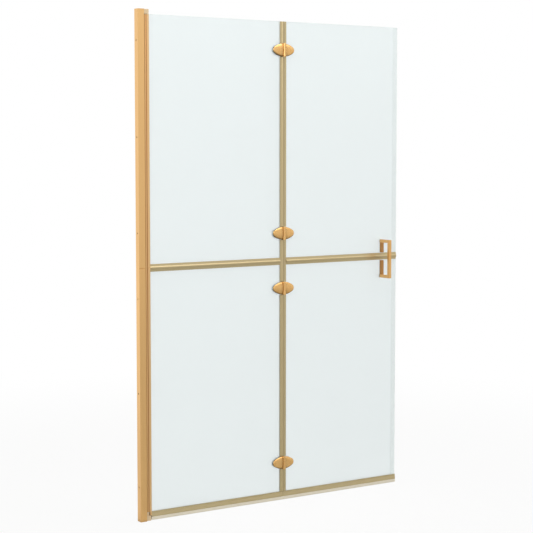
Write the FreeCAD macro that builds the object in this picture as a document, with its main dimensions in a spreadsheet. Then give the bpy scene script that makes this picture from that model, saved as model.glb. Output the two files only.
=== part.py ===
"""Folding walk-in shower screen: wall channel, pivoting inner leaf and folding outer leaf.

Millimetres. The origin lies on the wall face, in the glass mid-plane, at floor level.
+X runs from the wall to the free edge, -Y is the front with the handle, +Z is up.
"""
import FreeCAD, Part
import os
import Sketcher

Vector = FreeCAD.Vector
doc = FreeCAD.newDocument("ShowerScreen")

DRIVING_SIZES = (
    # overall
    ("screen_width", 1200.0),
    ("screen_height", 1900.0),
    ("seam_height", 950.0),
    # glass
    ("glass_thickness", 5.0),
    ("glass_top_drop", 18.0),
    ("glass_arris", 0.6),
    ("pane_gap", 3.0),
    ("edge_clearance", 0.3),
    # wall channel
    ("channel_depth", 26.5),
    ("channel_width", 26.0),
    ("channel_wall", 1.6),
    ("channel_corner", 0.8),
    ("seam_edge", 1.1),
    ("wall_hole_radius", 2.75),
    ("wall_hole_foot", 130.0),
    ("wall_hole_head", 114.0),
    ("splice_length", 120.0),
    ("splice_depth", 7.0),
    ("splice_gap", 0.4),
    # carrier profile
    ("carrier_clearance", 0.3),
    ("carrier_wall", 1.6),
    ("tongue_width", 5.0),
    ("screw_port_inset", 6.5),
    ("screw_port_radius", 3.2),
    ("adjuster_inset", 6.0),
    ("adjuster_end", 220.0),
    ("adjuster_radius", 1.95),
    ("adjuster_head", 3.6),
    ("adjuster_head_height", 2.2),
    ("adjuster_length", 4.8),
    ("adjuster_key", 2.5),
    ("adjuster_key_depth", 1.3),
    # wall pivot
    ("pivot_swing_gap", 1.0),
    ("pivot_pin_radius", 3.0),
    ("pivot_pin_grip", 12.0),
    ("pivot_pin_end_gap", 2.0),
    ("running_clearance", 0.05),
    ("swing_clearance", 0.3),
    ("bush_wall", 0.95),
    ("bush_length", 20.0),
    ("bush_flange", 1.0),
    ("tube_wall", 2.0),
    ("dowel_length", 60.0),
    ("block_width", 16.0),
    ("block_set_back", 0.5),
    ("block_glass_gap", 0.5),
    ("block_edge", 0.6),
    ("bottom_boss_height", 11.5),
    ("block_screw_radius", 1.45),
    ("block_screw_bite", 12.0),
    ("block_screw_head", 3.0),
    ("block_screw_head_height", 1.8),
    ("block_screw_recess", 0.4),
    # clamp of the pivot profile
    ("tongue_swing_gap", 0.5),
    ("glass_grip", 6.0),
    ("clamp_width", 16.0),
    ("clamp_corner", 1.2),
    ("glazing_gasket", 1.8),
    ("glazing_seat", 1.2),
    # strips and seals
    ("strip_width", 28.0),
    ("strip_edge", 1.2),
    ("strip_flange", 2.0),
    ("strip_rib", 12.0),
    ("strip_proud", 4.6),
    ("strip_end_set_back", 2.0),
    ("rail_height", 20.0),
    ("rail_width", 12.0),
    ("rail_lip_gap", 13.0),
    ("rail_floor", 7.0),
    ("rail_skirt", 4.5),
    ("rail_shoulder", 9.0),
    ("rail_top_wall", 2.2),
    ("rail_clamp_gap", 0.5),
    ("lip_ground_gap", 0.6),
    ("lip_wall", 1.8),
    ("lip_fin_rise", 3.6),
    ("lip_fin_slant", 0.9),
    ("lip_fin_tip", 1.4),
    ("guard_reach", 24.0),
    ("guard_wall", 1.0),
    ("guard_web", 2.0),
    # fold hinges
    ("fold_x", 640.0),
    ("plate_fold_gap", 0.5),
    ("fold_gap", 12.0),
    ("seal_split", 0.8),
    ("hinge_bottom_height", 149.0),
    ("hinge_below_seam", 106.0),
    ("hinge_above_seam", 110.0),
    ("hinge_below_top", 110.0),
    ("hinge_length", 96.0),
    ("hinge_height", 50.0),
    ("hinge_tip_radius", 15.0),
    ("hinge_plate_thickness", 9.5),
    ("hinge_rim_fillet", 5.5),
    ("hinge_clamp_thickness", 4.0),
    ("hinge_clamp_fillet", 1.5),
    ("hinge_gasket", 1.0),
    ("hinge_gasket_inset", 0.5),
    ("knuckle_side_gap", 0.5),
    ("knuckle_overhang", 1.0),
    ("knuckle_middle", 18.0),
    ("knuckle_gap", 0.3),
    ("knuckle_bridge_step", 0.6),
    ("knuckle_end", 0.6),
    ("hinge_pin_radius", 3.0),
    ("hinge_notch_margin", 2.0),
    ("hinge_screw_radius", 2.5),
    ("hinge_screw_head", 4.4),
    ("hinge_screw_head_height", 2.2),
    ("hinge_screw_out", 20.0),
    ("hinge_screw_pitch", 26.0),
    ("hinge_screw_bite", 5.5),
    ("hinge_screw_key", 3.0),
    ("hinge_screw_key_depth", 1.4),
    ("screw_hole_clearance", 0.2),
    ("glass_hole_clearance", 0.7),
    # handle
    ("handle_inset", 79.0),
    ("handle_drop", 9.0),
    ("handle_length", 156.0),
    ("handle_bar", 12.0),
    ("handle_reach", 66.0),
    ("handle_pad", 1.0),
    ("handle_edge_fillet", 0.8),
    ("handle_strip_gap", 2.0),
    ("handle_screw_radius", 2.5),
    ("handle_screw_bite", 14.0),
    ("handle_screw_head", 6.0),
    ("handle_screw_head_height", 3.6),
    ("handle_screw_key", 4.0),
    ("handle_screw_key_depth", 2.0),
    ("handle_washer_radius", 8.0),
    ("handle_washer", 1.6),
    ("handle_washer_edge", 0.4),
)

sheet = doc.addObject("Spreadsheet::Sheet", "Sizes")
for row, (alias, number) in enumerate(DRIVING_SIZES, start=1):
    sheet.set("A%d" % row, alias)
    sheet.set("B%d" % row, str(number))
    sheet.setAlias("B%d" % row, alias)
doc.recompute()


class Size:
    """A length with its value now and the sheet expression that drives it."""

    def __init__(self, value, text):
        self.value = float(value)
        self.text = text

    def __add__(self, other):
        other = as_size(other)
        return Size(self.value + other.value, "(%s + %s)" % (self.text, other.text))

    def __sub__(self, other):
        other = as_size(other)
        return Size(self.value - other.value, "(%s - %s)" % (self.text, other.text))

    def __mul__(self, other):
        other = as_size(other)
        return Size(self.value * other.value, "(%s * %s)" % (self.text, other.text))

    def __truediv__(self, other):
        other = as_size(other)
        return Size(self.value / other.value, "(%s / %s)" % (self.text, other.text))

    def __rsub__(self, other):
        return as_size(other) - self

    def __neg__(self):
        return Size(-self.value, "(0 - %s)" % self.text)

    def root(self):
        return Size(self.value ** 0.5, "sqrt(%s)" % self.text)

    __radd__ = __add__
    __rmul__ = __mul__


def as_size(number):
    """A plain number as a Size; a Size is returned as it is."""
    if isinstance(number, Size):
        return number
    return Size(number, repr(float(number)))


def size(alias):
    """The sheet's cell of that name."""
    return Size(sheet.get(alias), "Sizes.%s" % alias)


def bind(thing, prop, amount):
    """Ties a property of a document object to the sheet."""
    thing.setExpression(prop, as_size(amount).text)


# Sizes that several pieces share
half_glass = size("glass_thickness") / 2
half_channel = size("channel_width") / 2
channel_inside = half_channel - size("channel_wall")
glass_top = size("screen_height") - size("glass_top_drop")
seam = size("seam_height")
lower_pane_top = seam - size("pane_gap") / 2
upper_pane_bottom = seam + size("pane_gap") / 2
upper_half = size("screen_height") - seam
channel_halves = ((as_size(0.0), seam), (seam, upper_half))
screw_port_x = size("channel_depth") - size("screw_port_inset")
carrier_start = size("channel_wall") + size("splice_depth") + size("splice_gap")
adjuster_x = carrier_start + size("adjuster_inset")
clamp_half = size("clamp_width") / 2
clamp_root = size("tongue_width") / 2 + size("tongue_swing_gap")
pivot_x = size("channel_depth") + size("pivot_swing_gap") + clamp_half
bush_radius = size("pivot_pin_radius") + size("running_clearance") + size("bush_wall")
tube_radius = bush_radius + size("tube_wall")
slot_half = half_glass + size("glazing_gasket")
slot_bottom = pivot_x + tube_radius + size("swing_clearance")
inner_glass_edge = slot_bottom + size("glazing_seat")
clamp_end = inner_glass_edge + size("glass_grip")
block_reach = clamp_end - pivot_x - size("block_set_back")
block_half = size("block_width") / 2
glass_low = size("rail_lip_gap") + size("rail_floor")
bottom_block_height = glass_low - size("block_glass_gap")
boss_top = bottom_block_height + size("bottom_boss_height")
lower_thrust_gap = size("running_clearance") * 2
tube_bottom = boss_top + lower_thrust_gap + size("bush_flange")
top_block_bottom = glass_top + size("swing_clearance")
tube_top = top_block_bottom - size("swing_clearance") - size("bush_flange")
fold_x = size("fold_x")
inner_fold_edge = fold_x - size("fold_gap") / 2
outer_fold_edge = fold_x + size("fold_gap") / 2
half_split = size("seal_split") / 2
strip_half = size("strip_width") / 2
strip_face = half_glass + size("strip_proud")
strip_shoulder = half_glass + size("strip_edge")
rib_foot = half_glass + size("strip_flange")
rib_half = size("strip_rib") / 2
rib_rise = strip_face - rib_foot
rib_crown = (rib_half * rib_half + rib_rise * rib_rise) / (rib_rise * 2.0)
outer_glass_edge = size("screen_width") - size("guard_web")
rail_top = size("rail_lip_gap") + size("rail_height")
leaf_start = clamp_end + size("edge_clearance")
rail_start = clamp_end + size("rail_clamp_gap")
plate_back = half_glass + size("hinge_gasket")
fold_axis_offset = plate_back + size("hinge_plate_thickness") + size("plate_fold_gap")
knuckle_radius = size("fold_gap") / 2 - size("knuckle_side_gap")
knuckle_bridge = knuckle_radius - size("knuckle_bridge_step")
knuckle_height = size("hinge_height") + size("knuckle_overhang") * 2.0
hinge_heights = (
    size("hinge_bottom_height"),
    seam - size("hinge_below_seam"),
    seam + size("hinge_above_seam"),
    glass_top - size("hinge_below_top"),
)
handle_x = size("screen_width") - size("handle_inset")
handle_centre = seam - size("handle_drop")
handle_top = handle_centre + size("handle_length") / 2
handle_bottom = handle_centre - size("handle_length") / 2
handle_screw_heights = (
    handle_bottom + size("handle_bar") / 2,
    handle_top - size("handle_bar") / 2,
)
nodes = []


def new_body(name, x=0.0, y=0.0, z=0.0, node=True):
    """A body of that name, placed by the sheet; a node is written to its own file."""
    body = doc.addObject("PartDesign::Body", name)
    body.Label = name
    body.AllowCompound = True
    for axis, amount in (("x", x), ("y", y), ("z", z)):
        bind(body, "Placement.Base.%s" % axis, amount)
    if node:
        nodes.append(body)
    return body


def new_sketch(body, plane_role):
    """An empty sketch on one of the body's own origin planes."""
    sketch = body.newObject("Sketcher::SketchObject", body.Name + "_sketch")
    plane = next(f for f in body.Origin.OriginFeatures if f.Role == plane_role)
    sketch.AttachmentSupport = [(plane, "")]
    sketch.MapMode = "FlatFace"
    return sketch


def constrain(sketch, kind, amount, *where):
    """Adds a dimension to a sketch and ties it to the sheet."""
    amount = as_size(amount)
    number = sketch.addConstraint(Sketcher.Constraint(kind, *where, amount.value))
    bind(sketch, "Constraints[%d]" % number, amount)


def pin_point(sketch, edge, end, point):
    """Dimensions one end of an edge from the sketch's origin."""
    constrain(sketch, "DistanceX", point[0], -1, 1, edge, end)
    constrain(sketch, "DistanceY", point[1], -1, 1, edge, end)


def arc_middle(start, finish, radius, side):
    """A point on the minor arc between two points; side 1 bulges left of the way, -1 right."""
    chord = finish - start
    half = chord.Length / 2
    sagitta = radius - max(radius ** 2 - half ** 2, 0.0) ** 0.5
    left = Vector(-chord.y, chord.x, 0).normalize()
    return (start + finish) / 2 + left * (sagitta * side)


def outline(sketch, points):
    """A closed outline. A point is (x, y), or (x, y, radius, side) where an arc leads to the next."""
    flat = [Vector(as_size(p[0]).value, as_size(p[1]).value, 0) for p in points]
    edges = []
    for index, point in enumerate(points):
        start = flat[index]
        finish = flat[(index + 1) % len(points)]
        if len(point) == 2:
            edges.append((sketch.addGeometry(Part.LineSegment(start, finish), False), 1))
            continue
        radius, side = point[2:]
        middle = arc_middle(start, finish, as_size(radius).value, side)
        turn = Part.Arc(start, middle, finish) if side < 0 else Part.Arc(finish, middle, start)
        edges.append((sketch.addGeometry(turn, False), 1 if side < 0 else 2))
    for index, point in enumerate(points):
        edge, first = edges[index]
        after, after_first = edges[(index + 1) % len(points)]
        sketch.addConstraint(Sketcher.Constraint("Coincident", edge, 3 - first, after, after_first))
        pin_point(sketch, edge, first, point)
        if len(point) == 4:
            constrain(sketch, "Radius", point[2], edge)


def circle(sketch, x, y, radius):
    """A circle with its centre dimensioned from the sketch's origin."""
    centre = Vector(as_size(x).value, as_size(y).value, 0)
    ring = Part.Circle(centre, Vector(0, 0, 1), as_size(radius).value)
    edge = sketch.addGeometry(ring, False)
    pin_point(sketch, edge, 3, (x, y))
    constrain(sketch, "Radius", radius, edge)


def rectangle(sketch, left, right, low, high):
    """An upright rectangle between four limits."""
    outline(sketch, [(left, low), (right, low), (right, high), (left, high)])


def pad(body, sketch, length, symmetric=False, reverse=False):
    """Extrudes a sketch along its plane's normal."""
    feature = body.newObject("PartDesign::Pad", body.Name + "_pad")
    feature.Profile = sketch
    bind(feature, "Length", length)
    feature.Reversed = reverse
    if symmetric:
        feature.SideType = "Symmetric"
    doc.recompute()
    return feature


def pocket(body, sketch, depth=None, both_ways=False, reverse=False):
    """Cuts a sketch into the body, to a depth or right through, and sees that it removed material."""
    before = body.Shape.Volume
    feature = body.newObject("PartDesign::Pocket", body.Name + "_pocket")
    feature.Profile = sketch
    feature.Reversed = reverse
    if depth is None:
        feature.Type = "ThroughAll"
    else:
        bind(feature, "Length", depth)
    if both_ways:
        feature.SideType = "Symmetric"
    doc.recompute()
    if body.Shape.Volume > before - 1e-6:
        raise RuntimeError("pocket cut nothing from %s" % body.Name)
    return feature


def revolve(body, sketch):
    """Turns a sketch round its own vertical axis."""
    feature = body.newObject("PartDesign::Revolution", body.Name + "_turned")
    feature.Profile = sketch
    feature.ReferenceAxis = (sketch, ["V_Axis"])
    feature.Angle = 360
    doc.recompute()
    return feature


def fillet(body, radius, wanted):
    """Rounds the edges of the body for which wanted(edge) is true."""
    base = body.Tip
    names = ["Edge%d" % n for n, e in enumerate(base.Shape.Edges, start=1) if wanted(e)]
    feature = body.newObject("PartDesign::Fillet", body.Name + "_fillet")
    feature.Base = (base, names)
    bind(feature, "Radius", radius)
    doc.recompute()
    return feature


def chamfer(body, amount, wanted):
    """Breaks the edges of the body for which wanted(edge) is true."""
    base = body.Tip
    names = ["Edge%d" % n for n, e in enumerate(base.Shape.Edges, start=1) if wanted(e)]
    feature = body.newObject("PartDesign::Chamfer", body.Name + "_chamfer")
    feature.Base = (base, names)
    bind(feature, "Size", amount)
    doc.recompute()
    return feature


def key_recess(body, across, depth, face):
    """Hexagon socket in a screw head whose outer face lies at that distance along Y."""
    half = across / 2
    corner = across / as_size(3.0).root()
    sketch = new_sketch(body, "XZ_Plane")
    bind(sketch, "AttachmentOffset.Base.z", -face)
    outline(sketch, [
        (corner, 0.0),
        (corner / 2, half),
        (-corner / 2, half),
        (-corner, 0.0),
        (-corner / 2, -half),
        (corner / 2, -half),
    ])
    pocket(body, sketch, depth=depth, reverse=True)


def group(name, members):
    """One node made of several like pieces."""
    compound = doc.addObject("Part::Compound", name)
    compound.Label = name
    compound.Links = members
    nodes.append(compound)


def close_to(value, wanted):
    return abs(value - as_size(wanted).value) < 1e-4


def is_upright(edge):
    """Is this a straight edge along Z?"""
    low, high = edge.BoundBox.ZMin, edge.BoundBox.ZMax
    return high - low > 1.0 and edge.BoundBox.XLength < 1e-4 and edge.BoundBox.YLength < 1e-4


def upright_at(x, y):
    """Picks the upright edges at one plan position and its mirror image across the glass plane."""
    def wanted(edge):
        box = edge.BoundBox
        return is_upright(edge) and close_to(box.XMin, x) and close_to(abs(box.YMin), y)
    return wanted


def revolved_along_y(name, profile, x, y, z):
    """A turned piece on an axis along Y; the profile holds (radius, distance along Y)."""
    body = new_body(name, x, y, z, node=False)
    sketch = new_sketch(body, "XY_Plane")
    outline(sketch, profile)
    revolve(body, sketch)
    return body


def revolved_along_z(name, profile, x, y, z):
    """A turned piece on an upright axis; the profile holds (radius, height)."""
    body = new_body(name, x, y, z, node=False)
    sketch = new_sketch(body, "XZ_Plane")
    outline(sketch, profile)
    revolve(body, sketch)
    return body


def domed_screw_profile(shank, length, head, head_height):
    """Half section of a screw whose head lies on the positive side of its seat."""
    rim_share = 0.35
    rim = head_height * rim_share
    crown = head_height - rim
    dome = (head * head + crown * crown) / (crown * 2.0)
    return [
        (0.0, -length),
        (shank, -length),
        (shank, 0.0),
        (head, 0.0),
        (head, rim, dome, -1),
        (0.0, head_height),
    ]


# Wall channel


def adjuster_heights(length):
    """Heights of the adjusting screws above the foot of a channel half of that length."""
    return (size("adjuster_end"), length - size("adjuster_end"))


def at_seam(edge, level, half):
    """Is this an edge along X at that level, on an outer face half a width off the glass plane?"""
    box = edge.BoundBox
    flat = close_to(box.ZMin, level) and close_to(box.ZMax, level) and box.YLength < 1e-4
    return flat and close_to(abs(box.YMin), half)


def wall_channel(name, bottom, length, seam_level):
    """U-section extrusion with its web on the wall and its mouth towards the glass."""
    depth = size("channel_depth")
    wall = size("channel_wall")
    body = new_body(name, z=bottom)
    section = new_sketch(body, "XY_Plane")
    outline(section, [
        (0.0, -half_channel),
        (depth, -half_channel),
        (depth, -channel_inside),
        (wall, -channel_inside),
        (wall, channel_inside),
        (depth, channel_inside),
        (depth, half_channel),
        (0.0, half_channel),
    ])
    pad(body, section, length)
    holes = new_sketch(body, "YZ_Plane")
    lowest = size("wall_hole_foot")
    highest = length - size("wall_hole_head")
    for height in (lowest, (lowest + highest) / 2, highest):
        circle(holes, 0.0, height, size("wall_hole_radius"))
    pocket(body, holes, depth=wall, reverse=True)
    adjusters = new_sketch(body, "XZ_Plane")
    for height in adjuster_heights(length):
        hole = size("adjuster_radius") + size("screw_hole_clearance")
        circle(adjusters, adjuster_x, height, hole)
    pocket(body, adjusters)
    chamfer(body, size("seam_edge"), lambda edge: at_seam(edge, seam_level, half_channel))
    fillet(body, size("channel_corner"), upright_at(depth, half_channel))


def channel_splice():
    """Sleeve inside the channel that keeps the two halves in line at their seam."""
    wall = size("channel_wall")
    reach = wall + size("splice_depth")
    body = new_body("channel_splice", z=seam - size("splice_length") / 2)
    section = new_sketch(body, "XY_Plane")
    outline(section, [
        (wall, -channel_inside),
        (reach, -channel_inside),
        (reach, wall - channel_inside),
        (wall * 2.0, wall - channel_inside),
        (wall * 2.0, channel_inside - wall),
        (reach, channel_inside - wall),
        (reach, channel_inside),
        (wall, channel_inside),
    ])
    pad(body, section, size("splice_length"))


def carrier(name, bottom, length, channel_bottom, channel_length):
    """Profile that slides in the channel; its tongue is hollowed round the pivot tube."""
    outer = channel_inside - size("carrier_clearance")
    inner = outer - size("carrier_wall")
    mouth = size("channel_depth")
    plate = mouth - size("carrier_wall")
    start = carrier_start
    port = size("screw_port_radius")
    tongue = size("tongue_width") / 2
    socket = tube_radius + size("swing_clearance")
    tongue_end = pivot_x - (socket * socket - tongue * tongue).root()
    body = new_body(name, z=bottom)
    section = new_sketch(body, "XY_Plane")
    outline(section, [
        (start, -outer),
        (mouth, -outer),
        (mouth, -tongue),
        (tongue_end, -tongue, socket, 1),
        (tongue_end, tongue),
        (mouth, tongue),
        (mouth, outer),
        (start, outer),
        (start, inner),
        (plate, inner),
        (plate, port),
        (screw_port_x, port, port, -1),
        (screw_port_x - port, 0.0, port, -1),
        (screw_port_x, -port),
        (plate, -port),
        (plate, -inner),
        (start, -inner),
    ])
    circle(section, screw_port_x, 0.0, size("block_screw_radius"))
    pad(body, section, length)
    holes = new_sketch(body, "XZ_Plane")
    for height in adjuster_heights(channel_length):
        circle(holes, adjuster_x, height + channel_bottom - bottom, size("adjuster_radius"))
    pocket(body, holes)


def adjusting_screws():
    """Pan-head screws through the channel's inner flange into the carrier."""
    profile = domed_screw_profile(
        size("adjuster_radius"),
        size("adjuster_length"),
        size("adjuster_head"),
        size("adjuster_head_height"),
    )
    members = []
    for base, length in channel_halves:
        for height in adjuster_heights(length):
            name = "adjusting_screw_%d" % (len(members) + 1)
            screw = revolved_along_y(name, profile, adjuster_x, half_channel, base + height)
            key_recess(screw, size("adjuster_key"), size("adjuster_key_depth"), size("adjuster_head_height"))
            members.append(screw)
    group("adjusting_screws", members)


# Wall pivot


def block_outline(*head):
    """Plan of a pivot block: a tail that plugs the channel, and the far points of its head."""
    tail = size("channel_wall") + size("carrier_clearance")
    outer = channel_inside - size("carrier_clearance")
    mouth = size("channel_depth")
    return [
        (tail, -outer),
        (mouth, -outer),
        (mouth, -block_half),
        *head,
        (mouth, block_half),
        (mouth, outer),
        (tail, outer),
    ]


def boss_outline():
    """Plan of the bottom block's raised part: it fills the channel and rings the pivot pin."""
    tail = size("channel_wall") + size("carrier_clearance")
    outer = channel_inside - size("carrier_clearance")
    mouth = size("channel_depth")
    return [
        (tail, -outer),
        (mouth, -outer),
        (mouth, -tube_radius),
        (pivot_x, -tube_radius, tube_radius, -1),
        (pivot_x + tube_radius, 0.0, tube_radius, -1),
        (pivot_x, tube_radius),
        (mouth, tube_radius),
        (mouth, outer),
        (tail, outer),
    ]


def drill_block(body, height, pin_depth, pin_from_top):
    """Bores a block for its pivot pin, and from the other end for its sunk screw."""
    clearance = size("screw_hole_clearance")
    recess = size("block_screw_head_height") + size("block_screw_recess")
    pin = new_sketch(body, "XY_Plane")
    shank = new_sketch(body, "XY_Plane")
    head = new_sketch(body, "XY_Plane")
    if pin_from_top:
        bind(pin, "AttachmentOffset.Base.z", height)
    else:
        bind(head, "AttachmentOffset.Base.z", height)
    circle(pin, pivot_x, 0.0, size("pivot_pin_radius"))
    pocket(body, pin, depth=pin_depth, reverse=not pin_from_top)
    circle(shank, screw_port_x, 0.0, size("block_screw_radius") + clearance)
    pocket(body, shank, reverse=True)
    circle(head, screw_port_x, 0.0, size("block_screw_head") + clearance)
    pocket(body, head, depth=recess, reverse=pin_from_top)


def on_block_head(edge, height):
    """Is this an edge round the block's head at that height?"""
    box = edge.BoundBox
    level = close_to(box.ZMin, height) and close_to(box.ZMax, height)
    return level and box.XMax > pivot_x.value - clamp_half.value


def top_pivot_block():
    """Block over the glass, with a square head in line with the clamp below it."""
    height = size("screen_height") - top_block_bottom
    head_end = pivot_x + block_reach
    body = new_body("top_pivot_block", z=top_block_bottom)
    plan = new_sketch(body, "XY_Plane")
    outline(plan, block_outline((head_end, -block_half), (head_end, block_half)))
    pad(body, plan, height)
    fillet(body, size("clamp_corner"), upright_at(head_end, block_half))
    chamfer(body, size("block_edge"), lambda edge: on_block_head(edge, height))
    drill_block(body, height, size("pivot_pin_grip"), pin_from_top=False)


def bottom_pivot_block():
    """Block on the floor, with a head rounded about the pivot so that the rail swings past it."""
    shoulder = pivot_x + (block_reach * block_reach - block_half * block_half).root()
    body = new_body("bottom_pivot_block")
    plan = new_sketch(body, "XY_Plane")
    outline(plan, block_outline((shoulder, -block_half, block_reach, -1), (shoulder, block_half)))
    pad(body, plan, bottom_block_height)
    boss = new_sketch(body, "XY_Plane")
    bind(boss, "AttachmentOffset.Base.z", bottom_block_height)
    outline(boss, boss_outline())
    pad(body, boss, size("bottom_boss_height"))
    drill_block(body, boss_top, size("pivot_pin_grip") + size("bottom_boss_height"), pin_from_top=True)


def pivot_pins():
    """A fixed pin in each block, standing in the bushes of the inner leaf."""
    radius = size("pivot_pin_radius")
    into_bush = size("bush_length") - size("pivot_pin_end_gap")
    members = []
    grips = (
        (boss_top - size("pivot_pin_grip") - size("bottom_boss_height"), tube_bottom + into_bush),
        (tube_top - into_bush, top_block_bottom + size("pivot_pin_grip")),
    )
    for number, (low, high) in enumerate(grips, start=1):
        length = high - low
        profile = [(0.0, 0.0), (radius, 0.0), (radius, length), (0.0, length)]
        members.append(revolved_along_z("pivot_pin_%d" % number, profile, pivot_x, 0.0, low))
    group("pivot_pins", members)


def block_screws():
    """Sunk screws that hold the blocks to the ends of the carriers."""
    radius = size("block_screw_radius")
    head = size("block_screw_head")
    head_height = size("block_screw_head_height")
    recess = size("block_screw_recess")
    members = []
    for number, block_height in enumerate((boss_top, size("screen_height") - top_block_bottom), start=1):
        end = block_height + size("block_screw_bite")
        profile = [
            (0.0, recess),
            (head, recess),
            (head, recess + head_height),
            (radius, recess + head_height),
            (radius, end),
            (0.0, end),
        ]
        base = as_size(0.0)
        if number == 2:
            base = size("screen_height") - end
            profile = [(distance, end - height) for distance, height in reversed(profile)]
        members.append(revolved_along_z("block_screw_%d" % number, profile, screw_port_x, 0.0, base))
    group("block_screws", members)


# Pivot profile and glazing


def pivot_profile(name, bottom, top, seam_level, milled):
    """Tube on the pivot axis with a clamp for the glass edge; the low end is milled round the boss."""
    root = pivot_x + clamp_root
    tube_side = (tube_radius * tube_radius - clamp_root * clamp_root).root()
    far = pivot_x - tube_radius
    body = new_body(name, z=bottom)
    section = new_sketch(body, "XY_Plane")
    outline(section, [
        (root, -clamp_half),
        (clamp_end, -clamp_half),
        (clamp_end, -slot_half),
        (slot_bottom, -slot_half),
        (slot_bottom, slot_half),
        (clamp_end, slot_half),
        (clamp_end, clamp_half),
        (root, clamp_half),
        (root, tube_side, tube_radius, -1),
        (far, 0.0, tube_radius, -1),
        (root, -tube_side),
    ])
    circle(section, pivot_x, 0.0, bush_radius)
    pad(body, section, top - bottom)
    chamfer(body, size("seam_edge"), lambda edge: at_seam(edge, seam_level, clamp_half))
    fillet(body, size("clamp_corner"), upright_at(clamp_end, clamp_half))
    if milled:
        relief = new_sketch(body, "XY_Plane")
        away = tube_radius * 2.0
        limit = slot_bottom + size("swing_clearance")
        rectangle(relief, pivot_x - away, limit, -away, away)
        pocket(body, relief, depth=tube_bottom - bottom, reverse=True)


def pivot_dowel():
    """Rod in the tube that keeps the two halves of the pivot profile in line."""
    length = size("dowel_length")
    profile = [(0.0, 0.0), (bush_radius, 0.0), (bush_radius, length), (0.0, length)]
    nodes.append(revolved_along_z("pivot_dowel", profile, pivot_x, 0.0, seam - length / 2.0))


def pivot_bushes():
    """Flanged bushes at both ends of the pivot tube."""
    bore = size("pivot_pin_radius") + size("running_clearance")
    flange_radius = tube_radius - size("swing_clearance")
    flange = size("bush_flange")
    length = size("bush_length")
    low_profile = [
        (bore, 0.0),
        (flange_radius, 0.0),
        (flange_radius, flange),
        (bush_radius, flange),
        (bush_radius, flange + length),
        (bore, flange + length),
    ]
    high_profile = [(radius, flange + length - height) for radius, height in reversed(low_profile)]
    low = revolved_along_z("pivot_bush_1", low_profile, pivot_x, 0.0, tube_bottom - flange)
    high = revolved_along_z("pivot_bush_2", high_profile, pivot_x, 0.0, tube_top - length)
    group("pivot_bushes", [low, high])


def glazing_gasket(name, bottom, top):
    """U-shaped gasket between the clamp and the edge of the glass."""
    body = new_body(name, z=bottom)
    section = new_sketch(body, "XY_Plane")
    outline(section, [
        (slot_bottom, -slot_half),
        (clamp_end, -slot_half),
        (clamp_end, -half_glass),
        (inner_glass_edge, -half_glass),
        (inner_glass_edge, half_glass),
        (clamp_end, half_glass),
        (clamp_end, slot_half),
        (slot_bottom, slot_half),
    ])
    pad(body, section, top - bottom)


def glass_pane(name, left, right, low, high, holes):
    """A pane with its screw holes, given as (x, z, radius)."""
    body = new_body(name, y=half_glass)
    face = new_sketch(body, "XZ_Plane")
    rectangle(face, left, right, low, high)
    for x, z, radius in holes:
        circle(face, x, z, radius)
    pad(body, face, size("glass_thickness"))
    return body


def on_glass_top(edge):
    """Is this a long edge along the top of the glass?"""
    box = edge.BoundBox
    return close_to(box.ZMin, glass_top) and close_to(box.ZMax, glass_top) and box.YLength < 1e-4


def hinge_holes(side, heights):
    """Screw holes for the hinges of one leaf; side is -1 for the inner leaf, 1 for the outer."""
    radius = size("hinge_screw_radius") + size("glass_hole_clearance")
    x = fold_x + size("hinge_screw_out") * side
    half_pitch = size("hinge_screw_pitch") / 2
    return [(x, z + half_pitch * way, radius) for z in heights for way in (-1, 1)]


# Strips, rails and seals


def joint_strip(name, left, right):
    """H-section strip between an upper and a lower pane, with a crowned rib along each flange."""
    web = size("pane_gap") / 2
    low = seam - strip_half
    high = seam + strip_half
    body = new_body(name, x=left)
    section = new_sketch(body, "YZ_Plane")
    outline(section, [
        (-half_glass, low),
        (-half_glass, seam - web),
        (half_glass, seam - web),
        (half_glass, low),
        (strip_shoulder, low),
        (rib_foot, seam - rib_half, rib_crown, -1),
        (rib_foot, seam + rib_half),
        (strip_shoulder, high),
        (half_glass, high),
        (half_glass, seam + web),
        (-half_glass, seam + web),
        (-half_glass, high),
        (-strip_shoulder, high),
        (-rib_foot, seam + rib_half, rib_crown, -1),
        (-rib_foot, seam - rib_half),
        (-strip_shoulder, low),
    ])
    pad(body, section, right - left)


def bottom_rail(name, left, right):
    """U-section rail under the glass with sloped shoulders and a T-slot for the sweep lip."""
    half = size("rail_width") / 2
    low = size("rail_lip_gap")
    top_half = half_glass + size("rail_top_wall")
    skirt = low + size("rail_skirt")
    neck = size("lip_wall")
    body = new_body(name, x=left)
    section = new_sketch(body, "YZ_Plane")
    outline(section, [
        (-half, low),
        (-neck, low),
        (-neck, low + neck),
        (-neck * 2.0, low + neck),
        (-neck * 2.0, low + neck * 2.0),
        (neck * 2.0, low + neck * 2.0),
        (neck * 2.0, low + neck),
        (neck, low + neck),
        (neck, low),
        (half, low),
        (half, skirt),
        (top_half, skirt + size("rail_shoulder")),
        (top_half, rail_top),
        (half_glass, rail_top),
        (half_glass, glass_low),
        (-half_glass, glass_low),
        (-half_glass, rail_top),
        (-top_half, rail_top),
        (-top_half, skirt + size("rail_shoulder")),
        (-half, skirt),
    ])
    pad(body, section, right - left)


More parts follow.
